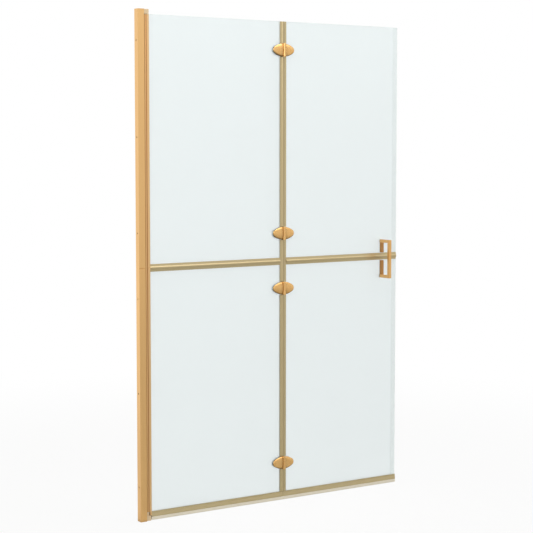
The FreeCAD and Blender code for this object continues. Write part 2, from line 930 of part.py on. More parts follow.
def sweep_lip(name, left, right):
    """Soft lip hung in the rail's T-slot, with a fin each side that wipes the floor."""
    half = size("rail_width") / 2
    low = size("lip_ground_gap")
    top = size("rail_lip_gap")
    neck = size("lip_wall")
    fin = half - neck
    rise = low + size("lip_fin_rise")
    inner_rise = rise + size("lip_fin_slant")
    foot = half - neck
    toe = foot - size("lip_fin_tip")
    body = new_body(name, x=left)
    section = new_sketch(body, "YZ_Plane")
    outline(section, [
        (-half, top),
        (-half, rise),
        (-foot, low),
        (-toe, low),
        (-fin, inner_rise),
        (-fin, top - neck),
        (fin, top - neck),
        (fin, inner_rise),
        (toe, low),
        (foot, low),
        (half, rise),
        (half, top),
        (neck, top),
        (neck, top + neck),
        (neck * 2.0, top + neck),
        (neck * 2.0, top + neck * 2.0),
        (-neck * 2.0, top + neck * 2.0),
        (-neck * 2.0, top + neck),
        (-neck, top + neck),
        (-neck, top),
    ])
    pad(body, section, right - left)


def fold_seal(name, side):
    """Half of the upright seal at the fold, split through its rib and cut away behind the hinges."""
    glass_edge = fold_x + size("fold_gap") / 2 * side
    meeting = fold_x + half_split * side
    rib_edge = fold_x + rib_half * side
    tip = fold_x + strip_half * side
    low = rail_top + size("edge_clearance")
    body = new_body(name, z=low)
    section = new_sketch(body, "XY_Plane")
    outline(section, [
        (meeting, -strip_face),
        (meeting, strip_face, rib_crown, side),
        (rib_edge, rib_foot),
        (tip, strip_shoulder),
        (tip, half_glass),
        (glass_edge, half_glass),
        (glass_edge, -half_glass),
        (tip, -half_glass),
        (tip, -strip_shoulder),
        (rib_edge, -rib_foot, rib_crown, side),
    ])
    pad(body, section, glass_top - low)
    notch_half = knuckle_height / 2 + size("hinge_notch_margin")
    notches = new_sketch(body, "YZ_Plane")
    clear = strip_face + size("hinge_notch_margin")
    for height in hinge_heights:
        rectangle(notches, -clear, -half_glass, height - low - notch_half, height - low + notch_half)
        rectangle(notches, half_glass, clear, height - low - notch_half, height - low + notch_half)
    pocket(body, notches, reverse=True)


def edge_guard(name, low, high):
    """Clear U-section over the free edge of the glass."""
    outer = half_glass + size("guard_wall")
    start = size("screen_width") - size("guard_reach")
    body = new_body(name, z=low)
    section = new_sketch(body, "XY_Plane")
    outline(section, [
        (start, -outer),
        (size("screen_width"), -outer),
        (size("screen_width"), outer),
        (start, outer),
        (start, half_glass),
        (outer_glass_edge, half_glass),
        (outer_glass_edge, -half_glass),
        (start, -half_glass),
    ])
    pad(body, section, high - low)


# Fold hinges


def half_oval(side, shrink):
    """Half of the hinge's oval, cut off at the pane's edge: two long arcs and a small one at the tip."""
    reach = size("hinge_length") / 2 - shrink
    rise = size("hinge_height") / 2 - shrink
    tip = size("hinge_tip_radius") - shrink
    cut = size("fold_gap") / 2
    centre = reach - tip
    long_arc = (centre * centre + rise * rise - tip * tip) / ((rise - tip) * 2.0)
    ratio = long_arc / (long_arc - tip)
    touch_x = centre * ratio
    touch_z = (long_arc - rise) * (ratio - 1.0)
    cut_z = (long_arc * long_arc - cut * cut).root() - long_arc + rise
    return [
        (cut * side, -cut_z),
        (cut * side, cut_z, long_arc, side),
        (touch_x * side, touch_z, tip, side),
        (touch_x * side, -touch_z, long_arc, side),
    ]


def screw_places(side):
    """Where the two hinge screws of one half lie, from the hinge's centre."""
    half_pitch = size("hinge_screw_pitch") / 2
    return [(size("hinge_screw_out") * side, half_pitch * way) for way in (-1, 1)]


def on_barrel_end(edge):
    """Is this a round edge at either end of a hinge barrel?"""
    end = knuckle_height / 2
    box = edge.BoundBox
    level = box.ZLength < 1e-4 and close_to(abs(box.ZMax), end)
    return level and hasattr(edge.Curve, "Radius") and close_to(edge.Curve.Radius, knuckle_radius)


def hinge_plate(name, side, height):
    """Front half plate with its knuckles: the inner plate has two, the outer the middle one."""
    thickness = size("hinge_plate_thickness")
    axis_y = plate_back - fold_axis_offset
    cut = size("fold_gap") / 2
    radius = knuckle_radius
    body = new_body(name, fold_x, -plate_back, height)
    face = new_sketch(body, "XZ_Plane")
    outline(face, half_oval(side, as_size(0.0)))
    pad(body, face, thickness)

    def on_front_rim(edge):
        box = edge.BoundBox
        flat = close_to(box.YMin, -thickness) and close_to(box.YMax, -thickness)
        return flat and not close_to(abs(box.XMax + box.XMin) / 2, cut)

    fillet(body, size("hinge_rim_fillet"), on_front_rim)
    barrel = new_sketch(body, "XY_Plane")
    bridge_back = axis_y + knuckle_bridge
    bridge_depth = (radius * radius - knuckle_bridge * knuckle_bridge).root()
    outline(barrel, [
        (cut * side, -thickness),
        (cut * side, bridge_back),
        (bridge_depth * side, bridge_back, radius, -side),
        (-radius * side, axis_y, radius, -side),
        (0.0, axis_y - radius, radius, -side),
        (radius * side, axis_y),
    ])
    middle = size("knuckle_middle")
    if side < 0:
        pad(body, barrel, knuckle_height, symmetric=True)
        chamfer(body, size("knuckle_end"), on_barrel_end)
        gap = new_sketch(body, "XZ_Plane")
        gap_half = middle / 2 + size("knuckle_gap")
        rectangle(gap, -cut, radius * 2.0, -gap_half, gap_half)
        pocket(body, gap, reverse=True)
        bore = size("hinge_pin_radius")
    else:
        pad(body, barrel, middle, symmetric=True)
        bore = size("hinge_pin_radius") + size("running_clearance")
    pin_bore = new_sketch(body, "XY_Plane")
    circle(pin_bore, 0.0, axis_y, bore)
    pocket(body, pin_bore, depth=knuckle_height * 2.0, both_ways=True)
    holes = new_sketch(body, "XZ_Plane")
    for x, z in screw_places(side):
        circle(holes, x, z, size("hinge_screw_radius"))
    pocket(body, holes, depth=size("hinge_screw_bite"), reverse=True)


def hinge_clamp(name, side, height):
    """Back half plate that clamps the glass, counterbored for the screw heads."""
    thickness = size("hinge_clamp_thickness")
    cut = size("fold_gap") / 2
    body = new_body(name, fold_x, plate_back + thickness, height, node=False)
    face = new_sketch(body, "XZ_Plane")
    outline(face, half_oval(side, as_size(0.0)))
    pad(body, face, thickness)

    def on_back_rim(edge):
        box = edge.BoundBox
        flat = close_to(box.YMin, 0.0) and close_to(box.YMax, 0.0)
        return flat and not close_to(abs(box.XMax + box.XMin) / 2, cut)

    fillet(body, size("hinge_clamp_fillet"), on_back_rim)
    clearance = size("screw_hole_clearance")
    for radius, depth in (
        (size("hinge_screw_radius") + clearance, thickness),
        (size("hinge_screw_head") + clearance, size("hinge_screw_head_height")),
    ):
        holes = new_sketch(body, "XZ_Plane")
        for x, z in screw_places(side):
            circle(holes, x, z, radius)
        pocket(body, holes, depth=depth, reverse=True)
    return body


def hinge_gasket(name, side, height, back_y):
    """Thin sheet between a hinge plate and the glass."""
    body = new_body(name, fold_x, back_y, height, node=False)
    face = new_sketch(body, "XZ_Plane")
    outline(face, half_oval(side, size("hinge_gasket_inset")))
    for x, z in screw_places(side):
        circle(face, x, z, size("hinge_screw_radius") + size("screw_hole_clearance"))
    pad(body, face, size("hinge_gasket"))
    return body


def hinge_screw(name, x, z):
    """Cap screw from the back plate through the glass into the front plate."""
    shank = size("hinge_screw_radius")
    head = size("hinge_screw_head")
    head_height = size("hinge_screw_head_height")
    seat = plate_back + size("hinge_clamp_thickness") - head_height
    bite = plate_back + size("hinge_screw_bite")
    profile = [
        (0.0, -(seat + bite)),
        (shank, -(seat + bite)),
        (shank, 0.0),
        (head, 0.0),
        (head, head_height),
        (0.0, head_height),
    ]
    screw = revolved_along_y(name, profile, x, seat, z)
    key_recess(screw, size("hinge_screw_key"), size("hinge_screw_key_depth"), head_height)
    return screw


def fold_hinges():
    """The four fold hinges, each a pair of front plates, a pin and its clamping pieces."""
    pins = []
    for leaf, side in (("inner", -1), ("outer", 1)):
        clamps, gaskets, screws = [], [], []
        for number, height in enumerate(hinge_heights, start=1):
            hinge_plate("hinge_%d_%s_plate" % (number, leaf), side, height)
            clamps.append(hinge_clamp("hinge_%d_%s_clamp" % (number, leaf), side, height))
            for place, back_y in (("front", -half_glass), ("back", plate_back)):
                name = "hinge_%d_%s_%s_gasket" % (number, leaf, place)
                gaskets.append(hinge_gasket(name, side, height, back_y))
            for x, z in screw_places(side):
                name = "hinge_%d_%s_screw_%d" % (number, leaf, len(screws) + 1)
                screws.append(hinge_screw(name, fold_x + x, height + z))
        group("%s_hinge_clamps" % leaf, clamps)
        group("%s_hinge_gaskets" % leaf, gaskets)
        group("%s_hinge_screws" % leaf, screws)
    radius = size("hinge_pin_radius")
    half = knuckle_height / 2
    end = size("knuckle_end")
    profile = [
        (0.0, -half),
        (radius - end, -half),
        (radius, end - half),
        (radius, half - end),
        (radius - end, half),
        (0.0, half),
    ]
    for number, height in enumerate(hinge_heights, start=1):
        place = (fold_x, -fold_axis_offset, height)
        pins.append(revolved_along_z("hinge_pin_%d" % number, profile, *place))
    group("hinge_pins", pins)


# Handle


def handle_feet():
    """The two feet of the handle on the glass, one each side of the joint strip, as (low, high)."""
    gap = strip_half + size("handle_strip_gap")
    return ((handle_bottom, seam - gap), (seam + gap, handle_top))


def handle():
    """Square-bar loop across the joint strip; its glass side is two feet, so the strip runs between."""
    back = -(half_glass + size("handle_pad"))
    bar = size("handle_bar")
    front = -size("handle_reach")
    (low, low_foot), (high_foot, high) = handle_feet()
    body = new_body("handle", x=handle_x)
    loop = new_sketch(body, "YZ_Plane")
    outline(loop, [
        (back, high),
        (front, high),
        (front, low),
        (back, low),
        (back, low_foot),
        (back - bar, low_foot),
        (back - bar, low + bar),
        (front + bar, low + bar),
        (front + bar, high - bar),
        (back - bar, high - bar),
        (back - bar, high_foot),
        (back, high_foot),
    ])
    pad(body, loop, bar, symmetric=True)
    fillet(body, size("handle_edge_fillet"), lambda edge: True)
    holes = new_sketch(body, "XZ_Plane")
    for height in handle_screw_heights:
        circle(holes, 0.0, height, size("handle_screw_radius"))
    pocket(body, holes, depth=size("handle_screw_bite") - back, reverse=True)


def handle_fixings():
    """Pads under the feet, washers behind the glass and the screws through it."""
    bar = size("handle_bar")
    pads, washers, screws = [], [], []
    hole = size("handle_screw_radius") + size("screw_hole_clearance")
    for number, (low, high) in enumerate(handle_feet(), start=1):
        body = new_body("handle_pad_%d" % number, handle_x, -half_glass, node=False)
        face = new_sketch(body, "XZ_Plane")
        rectangle(face, -bar / 2, bar / 2, low, high)
        circle(face, 0.0, handle_screw_heights[number - 1], hole)
        pad(body, face, size("handle_pad"))
        pads.append(body)
        outer = size("handle_washer_radius")
        height = size("handle_washer")
        edge = size("handle_washer_edge")
        ring = [(hole, 0.0), (outer, 0.0), (outer, height - edge), (outer - edge, height), (hole, height)]
        screw_z = handle_screw_heights[number - 1]
        washers.append(revolved_along_y("handle_washer_%d" % number, ring, handle_x, half_glass, screw_z))
        seat = half_glass + height
        bite = half_glass + size("handle_pad") + size("handle_screw_bite")
        profile = domed_screw_profile(
            size("handle_screw_radius"),
            seat + bite,
            size("handle_screw_head"),
            size("handle_screw_head_height"),
        )
        screw = revolved_along_y("handle_screw_%d" % number, profile, handle_x, seat, screw_z)
        key_face = size("handle_screw_head_height")
        key_recess(screw, size("handle_screw_key"), size("handle_screw_key_depth"), key_face)
        screws.append(screw)
    group("handle_pads", pads)
    group("handle_washers", washers)
    group("handle_screws", screws)


# Assembly

wall_channel("wall_channel_lower", *channel_halves[0], seam_level=seam)
wall_channel("wall_channel_upper", *channel_halves[1], seam_level=0.0)
channel_splice()
carrier("carrier_lower", boss_top, seam - boss_top, *channel_halves[0])
carrier("carrier_upper", seam, top_block_bottom - seam, *channel_halves[1])
adjusting_screws()
top_pivot_block()
bottom_pivot_block()
pivot_pins()
block_screws()

pivot_profile("pivot_profile_lower", glass_low, seam, seam - glass_low, milled=True)
pivot_profile("pivot_profile_upper", seam, tube_top, 0.0, milled=False)
pivot_dowel()
pivot_bushes()
glazing_gasket("glazing_gasket_lower", glass_low, seam)
glazing_gasket("glazing_gasket_upper", seam, tube_top)
handle_hole = size("handle_screw_radius") + size("glass_hole_clearance")
handle_holes = [(handle_x, height, handle_hole) for height in handle_screw_heights]
for level, low, high, heights in (
    ("lower", glass_low, lower_pane_top, hinge_heights[:2]),
    ("upper", upper_pane_bottom, glass_top, hinge_heights[2:]),
):
    inner_holes = hinge_holes(-1, heights)
    panes = [
        glass_pane("inner_glass_%s" % level, inner_glass_edge, inner_fold_edge, low, high, inner_holes),
    ]
    grip_hole = handle_holes[0] if level == "lower" else handle_holes[1]
    outer_holes = hinge_holes(1, heights) + [grip_hole]
    outer = glass_pane("outer_glass_%s" % level, outer_fold_edge, outer_glass_edge, low, high, outer_holes)
    panes.append(outer)
    if level == "upper":
        for pane in panes:
            chamfer(pane, size("glass_arris"), on_glass_top)

seal_gap = strip_half + size("edge_clearance")
joint_strip("inner_joint_strip", leaf_start, fold_x - seal_gap)
strip_end = size("screen_width") - size("strip_end_set_back")
joint_strip("outer_joint_strip", fold_x + seal_gap, strip_end)
for leaf, left, right in (
    ("inner", rail_start, fold_x - half_split),
    ("outer", fold_x + half_split, size("screen_width")),
):
    bottom_rail("%s_bottom_rail" % leaf, left, right)
    sweep_lip("%s_sweep_lip" % leaf, left, right)
fold_seal("inner_fold_seal", -1)
fold_seal("outer_fold_seal", 1)
fold_hinges()
edge_guard("edge_guard_lower", rail_top + size("edge_clearance"), seam - seal_gap)
edge_guard("edge_guard_upper", seam + seal_gap, glass_top)
handle()
handle_fixings()

doc.recompute()
for item in doc.Objects:
    if "Invalid" in item.State or "Error" in item.State:
        raise RuntimeError("%s failed: %s" % (item.Name, item.State))
for item in nodes:
    if item.Shape.isNull() or not item.Shape.isValid():
        raise RuntimeError("%s has no valid shape" % item.Label)

os.makedirs("parts", exist_ok=True)
for item in nodes:
    item.Shape.exportStep("parts/%s.step" % item.Label)
print("%d nodes written" % len(nodes))
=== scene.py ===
"""Folding walk-in shower screen: finishes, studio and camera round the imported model. Metres."""
import math

import bmesh
import bpy
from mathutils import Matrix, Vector


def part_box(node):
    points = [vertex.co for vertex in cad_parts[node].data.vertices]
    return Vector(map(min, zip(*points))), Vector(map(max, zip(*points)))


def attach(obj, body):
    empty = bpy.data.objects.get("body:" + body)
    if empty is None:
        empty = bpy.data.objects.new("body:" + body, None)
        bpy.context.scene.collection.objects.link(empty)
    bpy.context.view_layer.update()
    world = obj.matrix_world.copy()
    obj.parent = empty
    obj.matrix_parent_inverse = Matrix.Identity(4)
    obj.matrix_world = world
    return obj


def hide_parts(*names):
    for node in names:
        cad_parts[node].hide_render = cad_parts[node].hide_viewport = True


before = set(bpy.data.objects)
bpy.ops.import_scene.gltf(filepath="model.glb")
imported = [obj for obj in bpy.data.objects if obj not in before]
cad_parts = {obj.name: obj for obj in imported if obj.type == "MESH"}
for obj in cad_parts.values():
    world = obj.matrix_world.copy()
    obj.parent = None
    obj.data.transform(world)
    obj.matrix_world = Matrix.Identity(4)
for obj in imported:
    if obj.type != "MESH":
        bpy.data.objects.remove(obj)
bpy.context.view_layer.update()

MM = 0.001
HINGES = (1, 2, 3, 4)
FOLD_X = sum(corner[0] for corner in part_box("hinge_pins")) / 2
# points of a copied CAD mesh that are nearer than this are one point
SPECK = 0.005 * MM
# copied faces that meet at less than this are shaded as one surface
CREASE = math.radians(35)
# sockets of the colour Mix node, which share their names with its float and vector ones
MIX_A, MIX_B, MIX_RESULT = 6, 7, 2


def linear(code):
    """An sRGB hex colour as linear RGBA."""
    parts = [int(code[i:i + 2], 16) / 255 for i in (1, 3, 5)]
    return [p / 12.92 if p <= 0.04045 else ((p + 0.055) / 1.055) ** 2.4 for p in parts] + [1.0]


def add_node(tree, kind, sockets=None, **settings):
    """Adds a node; sockets holds a value or another node's output for each input, by name or number."""
    made = tree.nodes.new(kind)
    for name, value in settings.items():
        setattr(made, name, value)
    for name, value in (sockets or {}).items():
        if isinstance(value, bpy.types.NodeSocket):
            tree.links.new(value, made.inputs[name])
        else:
            made.inputs[name].default_value = value
    return made


def new_material(name):
    """An empty node material; returns it with its tree and its Object coordinates."""
    material = bpy.data.materials.new(name)
    material.use_nodes = True
    tree = material.node_tree
    tree.nodes.clear()
    return material, tree, add_node(tree, "ShaderNodeTexCoord").outputs["Object"]


def show(tree, shader):
    """Makes a shader the material's surface."""
    add_node(tree, "ShaderNodeOutputMaterial", {"Surface": shader.outputs[0]})


def shade_corners(tree, bright, corner_shade, reach, shut):
    """Paints shade into corners: mixes a bright colour towards a shade colour where surfaces within reach
    close in.

    The painted shade is full where the open share has fallen to shut.
    """
    open_share = add_node(tree, "ShaderNodeAmbientOcclusion", {"Distance": reach}, samples=8)
    unshaded_share = add_node(tree, "ShaderNodeMapRange", {"Value": open_share.outputs["AO"], "From Min": shut})
    return add_node(tree, "ShaderNodeMix", {
        0: unshaded_share.outputs[0], MIX_A: corner_shade, MIX_B: bright.outputs[MIX_RESULT]}, data_type="RGBA")


# Finishes


def gold_anodised_aluminium(name, dark, light, groove="#B28C58"):
    """Extruded, etched and dyed: an even satin gold with faint die lines, and painted shade down in the
    grooves.
    """
    material, tree, place = new_material(name)
    # die lines are about 0.3 mm apart; drawn 2.5 mm apart so that they show from a step away
    line, run = 2.5 * MM, 600 * MM
    along = add_node(tree, "ShaderNodeMapping", {"Vector": place, "Scale": (1 / line, 1 / line, 1 / run)})
    lines = add_node(tree, "ShaderNodeTexNoise", {
        "Vector": along.outputs[0], "Scale": 1.0, "Detail": 3.0, "Roughness": 0.6})
    dyed = add_node(tree, "ShaderNodeMix", {
        0: lines.outputs[0], MIX_A: linear(dark), MIX_B: linear(light)}, data_type="RGBA")
    # painted shade: browner where the groove walls close in
    colour = shade_corners(tree, dyed, linear(groove), 12 * MM, 0.1)
    rough = add_node(tree, "ShaderNodeMapRange", {
        "Value": lines.outputs[0], "To Min": 0.26, "To Max": 0.42})
    bump = add_node(tree, "ShaderNodeBump", {
        "Height": lines.outputs[0], "Strength": 0.25, "Distance": 0.05 * MM})
    show(tree, add_node(tree, "ShaderNodeBsdfPrincipled", {
        "Base Color": colour.outputs[MIX_RESULT], "Metallic": 1.0,
        "Roughness": rough.outputs[0], "Normal": bump.outputs[0]}))
    return material


def mill_aluminium():
    """Bare extruded aluminium: grey, with dull lines along the bar."""
    material, tree, place = new_material("mill_aluminium")
    line, run = 1.5 * MM, 80 * MM
    along = add_node(tree, "ShaderNodeMapping", {"Vector": place, "Scale": (1 / line, 1 / line, 1 / run)})
    lines = add_node(tree, "ShaderNodeTexNoise", {
        "Vector": along.outputs[0], "Scale": 1.0, "Detail": 2.0})
    colour = add_node(tree, "ShaderNodeMix", {
        0: lines.outputs[0], MIX_A: linear("#A9A9A6"), MIX_B: linear("#C4C4C1")}, data_type="RGBA")
    rough = add_node(tree, "ShaderNodeMapRange", {
        "Value": lines.outputs[0], "To Min": 0.35, "To Max": 0.55})
    show(tree, add_node(tree, "ShaderNodeBsdfPrincipled", {
        "Base Color": colour.outputs[MIX_RESULT], "Metallic": 1.0, "Roughness": rough.outputs[0]}))
    return material


def gold_moulded_nylon():
    """Injection-moulded nylon with gold pigment: the profile's colour, but milder gloss and a fine grain."""
    material, tree, place = new_material("gold_moulded_nylon")
    grain = add_node(tree, "ShaderNodeTexNoise", {
        "Vector": place, "Scale": 1 / (0.8 * MM), "Detail": 2.0})
    flow = add_node(tree, "ShaderNodeTexNoise", {
        "Vector": place, "Scale": 1 / (14 * MM), "Detail": 1.0})
    colour = add_node(tree, "ShaderNodeMix", {
        0: flow.outputs[0], MIX_A: linear("#D8BE97"), MIX_B: linear("#E3CCA9")}, data_type="RGBA")
    bump = add_node(tree, "ShaderNodeBump", {
        "Height": grain.outputs[0], "Strength": 0.2, "Distance": 0.05 * MM})
    rough = add_node(tree, "ShaderNodeMapRange", {
        "Value": grain.outputs[0], "To Min": 0.36, "To Max": 0.5})
    show(tree, add_node(tree, "ShaderNodeBsdfPrincipled", {
        "Base Color": colour.outputs[MIX_RESULT], "Metallic": 0.45,
        "Roughness": rough.outputs[0], "Normal": bump.outputs[0]}))
    return material


def gold_plated_zinc():
    """Die-cast zinc, tumbled and gold plated: deep gold, finely peened, with painted shade in the corners by
    the glass and on the undersides.
    """
    material, tree, place = new_material("gold_plated_zinc")
    # tumbling leaves dimples of about 0.4 mm; drawn 1.6 mm wide so that they show from a step away
    dimples = add_node(tree, "ShaderNodeTexNoise", {
        "Vector": place, "Scale": 1 / (1.6 * MM), "Detail": 2.0, "Roughness": 0.55})
    drift = add_node(tree, "ShaderNodeTexNoise", {
        "Vector": place, "Scale": 1 / (18 * MM), "Detail": 1.0})
    plated = add_node(tree, "ShaderNodeMix", {
        0: drift.outputs[0], MIX_A: linear("#DDAC6A"), MIX_B: linear("#E9BE80")}, data_type="RGBA")
    # the tumbling stones wear the plating thin between the dimples
    worn = add_node(tree, "ShaderNodeMapRange", {
        "Value": dimples.outputs[0], "From Min": 0.5, "From Max": 0.72, "To Max": 0.45})
    polished = add_node(tree, "ShaderNodeMix", {
        0: worn.outputs[0], MIX_A: plated.outputs[MIX_RESULT], MIX_B: linear("#B98648")},
        data_type="RGBA")
    along_x = add_node(tree, "ShaderNodeSeparateXYZ", {0: place}).outputs["X"]
    from_pin = add_node(tree, "ShaderNodeMath", {0: along_x, 1: FOLD_X}, operation="SUBTRACT")
    off_pin = add_node(tree, "ShaderNodeMath", {0: from_pin.outputs[0]}, operation="ABSOLUTE")
    # painted shade: the corner shade is paler near the pin, so the gap between the knuckles shows less dark
    away_from_pin = add_node(tree, "ShaderNodeMapRange", {
        "Value": off_pin.outputs[0], "From Min": 7 * MM, "From Max": 12 * MM})
    corner_shade = add_node(tree, "ShaderNodeMix", {
        0: away_from_pin.outputs[0], MIX_A: linear("#B98A4E"), MIX_B: linear("#35200C")}, data_type="RGBA")
    corners = shade_corners(tree, polished, corner_shade.outputs[MIX_RESULT], 14 * MM, 0.5)
    facing = add_node(tree, "ShaderNodeTexCoord").outputs["Normal"]
    upward = add_node(tree, "ShaderNodeSeparateXYZ", {0: facing}).outputs["Z"]
    # painted shade: faces that look down turn dark brown, as the lower rim falls in shade
    film_and_underside_shade = add_node(tree, "ShaderNodeMapRange", {
        "Value": upward, "From Min": -0.7, "From Max": -0.1, "To Min": 0.85, "To Max": 0.0})
    colour = add_node(tree, "ShaderNodeMix", {
        0: film_and_underside_shade.outputs[0], MIX_A: corners.outputs[MIX_RESULT], MIX_B: linear("#4A2E12")},
        data_type="RGBA")
    rough = add_node(tree, "ShaderNodeMapRange", {
        "Value": dimples.outputs[0], "To Min": 0.2, "To Max": 0.36})
    bump = add_node(tree, "ShaderNodeBump", {
        "Height": dimples.outputs[0], "Strength": 0.4, "Distance": 0.16 * MM})
    show(tree, add_node(tree, "ShaderNodeBsdfPrincipled", {
        "Base Color": colour.outputs[MIX_RESULT], "Metallic": 1.0,
        "Roughness": rough.outputs[0], "Normal": bump.outputs[0]}))
    return material


def gold_plated_brass():
    """Square brass bar, brushed and gold plated: warm orange gold, with painted shade on the feet between the
    arms.
    """
    (left, _, low), (right, back, high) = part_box("handle")
    bar = right - left
    window = (high - low) / 2 - bar
    material, tree, place = new_material("gold_plated_brass")
    stroke, run = 1.2 * MM, 40 * MM
    along = add_node(tree, "ShaderNodeMapping", {"Vector": place, "Scale": (1 / stroke, 1 / stroke, 1 / run)})
    strokes = add_node(tree, "ShaderNodeTexNoise", {
        "Vector": along.outputs[0], "Scale": 1.0, "Detail": 3.0, "Roughness": 0.65})
    brushed = add_node(tree, "ShaderNodeMix", {
        0: strokes.outputs[0], MIX_A: linear("#D6A262"), MIX_B: linear("#E4B476")}, data_type="RGBA")
    # painted shade: the feet inside the loop, behind the front bar, are browner
    where = add_node(tree, "ShaderNodeSeparateXYZ", {0: place})
    near_glass = add_node(tree, "ShaderNodeMapRange", {
        "Value": where.outputs["Y"], "From Min": back - bar - 3 * MM, "From Max": back - bar - 0.5 * MM})
    from_middle = add_node(tree, "ShaderNodeMath", {
        0: where.outputs["Z"], 1: (low + high) / 2}, operation="SUBTRACT")
    off_middle = add_node(tree, "ShaderNodeMath", {0: from_middle.outputs[0]}, operation="ABSOLUTE")
    between_arms = add_node(tree, "ShaderNodeMapRange", {
        "Value": off_middle.outputs[0], "From Min": window - 2 * MM, "From Max": window + 2 * MM,
        "To Min": 1.0, "To Max": 0.0})
    feet_shade = add_node(tree, "ShaderNodeMath", {
        0: near_glass.outputs[0], 1: between_arms.outputs[0]}, operation="MULTIPLY")
    colour = add_node(tree, "ShaderNodeMix", {
        0: feet_shade.outputs[0], MIX_A: brushed.outputs[MIX_RESULT], MIX_B: linear("#B1814F")},
        data_type="RGBA")
    rough = add_node(tree, "ShaderNodeMapRange", {
        "Value": strokes.outputs[0], "To Min": 0.24, "To Max": 0.4})
    bump = add_node(tree, "ShaderNodeBump", {
        "Height": strokes.outputs[0], "Strength": 0.2, "Distance": 0.04 * MM})
    show(tree, add_node(tree, "ShaderNodeBsdfPrincipled", {
        "Base Color": colour.outputs[MIX_RESULT], "Metallic": 1.0,
        "Roughness": rough.outputs[0], "Normal": bump.outputs[0]}))
    return material


def gold_plated_steel():
    """Small plated screws: bright gold, dimmed by a thin uneven coat."""
    material, tree, place = new_material("gold_plated_steel")
    film_and_underside_shade = add_node(tree, "ShaderNodeTexNoise", {
        "Vector": place, "Scale": 1 / (2.5 * MM), "Detail": 2.0})
    colour = add_node(tree, "ShaderNodeMix", {
        0: film_and_underside_shade.outputs[0], MIX_A: linear("#C79A5C"), MIX_B: linear("#DDB273")}, data_type="RGBA")
    rough = add_node(tree, "ShaderNodeMapRange", {
        "Value": film_and_underside_shade.outputs[0], "To Min": 0.22, "To Max": 0.38})
    show(tree, add_node(tree, "ShaderNodeBsdfPrincipled", {
        "Base Color": colour.outputs[MIX_RESULT], "Metallic": 1.0, "Roughness": rough.outputs[0]}))
    return material


def turned_stainless_steel():
    """Turned stainless pins: neutral grey with fine rings left by the tool."""
    material, tree, place = new_material("turned_stainless_steel")
    ring = 0.8 * MM
    across = add_node(tree, "ShaderNodeMapping", {"Vector": place, "Scale": (0.0, 0.0, 1 / ring)})
    rings = add_node(tree, "ShaderNodeTexNoise", {
        "Vector": across.outputs[0], "Scale": 1.0, "Detail": 2.0})
    colour = add_node(tree, "ShaderNodeMix", {
        0: rings.outputs[0], MIX_A: linear("#B4B3AE"), MIX_B: linear("#CBCAC6")}, data_type="RGBA")
    rough = add_node(tree, "ShaderNodeMapRange", {
        "Value": rings.outputs[0], "To Min": 0.18, "To Max": 0.34})
    show(tree, add_node(tree, "ShaderNodeBsdfPrincipled", {
        "Base Color": colour.outputs[MIX_RESULT], "Metallic": 1.0, "Roughness": rough.outputs[0]}))
    return material


def champagne_pvc(name, run_axis):
    """Extruded PVC with a champagne metallic pigment: khaki, silky, with flow lines along the run."""
    material, tree, place = new_material(name)
    line, run = 2.0 * MM, 300 * MM
    scale = [1 / line] * 3
    scale[run_axis] = 1 / run
    along = add_node(tree, "ShaderNodeMapping", {"Vector": place, "Scale": scale})
    lines = add_node(tree, "ShaderNodeTexNoise", {
        "Vector": along.outputs[0], "Scale": 1.0, "Detail": 2.0})
    colour = add_node(tree, "ShaderNodeMix", {
        0: lines.outputs[0], MIX_A: linear("#B8A67D"), MIX_B: linear("#C4B28A")}, data_type="RGBA")
    rough = add_node(tree, "ShaderNodeMapRange", {
        "Value": lines.outputs[0], "To Min": 0.26, "To Max": 0.38})
    bump = add_node(tree, "ShaderNodeBump", {
        "Height": lines.outputs[0], "Strength": 0.15, "Distance": 0.05 * MM})
    show(tree, add_node(tree, "ShaderNodeBsdfPrincipled", {
        "Base Color": colour.outputs[MIX_RESULT], "Metallic": 0.75,
        "Roughness": rough.outputs[0], "Normal": bump.outputs[0]}))
    return material


def soft_pvc():
    """Plasticised PVC wiper: cloudy and pale straw, light glows through its thin fins."""
    material, tree, place = new_material("soft_pvc")
    cloud = add_node(tree, "ShaderNodeTexNoise", {
        "Vector": place, "Scale": 1 / (30 * MM), "Detail": 3.0})
    colour = add_node(tree, "ShaderNodeMix", {
        0: cloud.outputs[0], MIX_A: linear("#F4EAD2"), MIX_B: linear("#FBF3E2")}, data_type="RGBA")
    rough = add_node(tree, "ShaderNodeMapRange", {
        "Value": cloud.outputs[0], "To Min": 0.3, "To Max": 0.45})
    show(tree, add_node(tree, "ShaderNodeBsdfPrincipled", {
        "Base Color": colour.outputs[MIX_RESULT], "Roughness": rough.outputs[0],
        "Transmission Weight": 0.12, "IOR": 1.53}))
    return material


def clear_pvc():
    """Clear PVC edge guard: colourless and glossy, with slight streaks from the die."""
    material, tree, place = new_material("clear_pvc")
    line, run = 3.0 * MM, 500 * MM
    along = add_node(tree, "ShaderNodeMapping", {"Vector": place, "Scale": (1 / line, 1 / line, 1 / run)})
    streaks = add_node(tree, "ShaderNodeTexNoise", {
        "Vector": along.outputs[0], "Scale": 1.0, "Detail": 2.0})
    rough = add_node(tree, "ShaderNodeMapRange", {
        "Value": streaks.outputs[0], "To Min": 0.06, "To Max": 0.16})
    show(tree, add_node(tree, "ShaderNodeBsdfPrincipled", {
        "Base Color": linear("#E9EDEC"), "Roughness": rough.outputs[0], "Alpha": 0.07, "IOR": 1.53}))
    return material


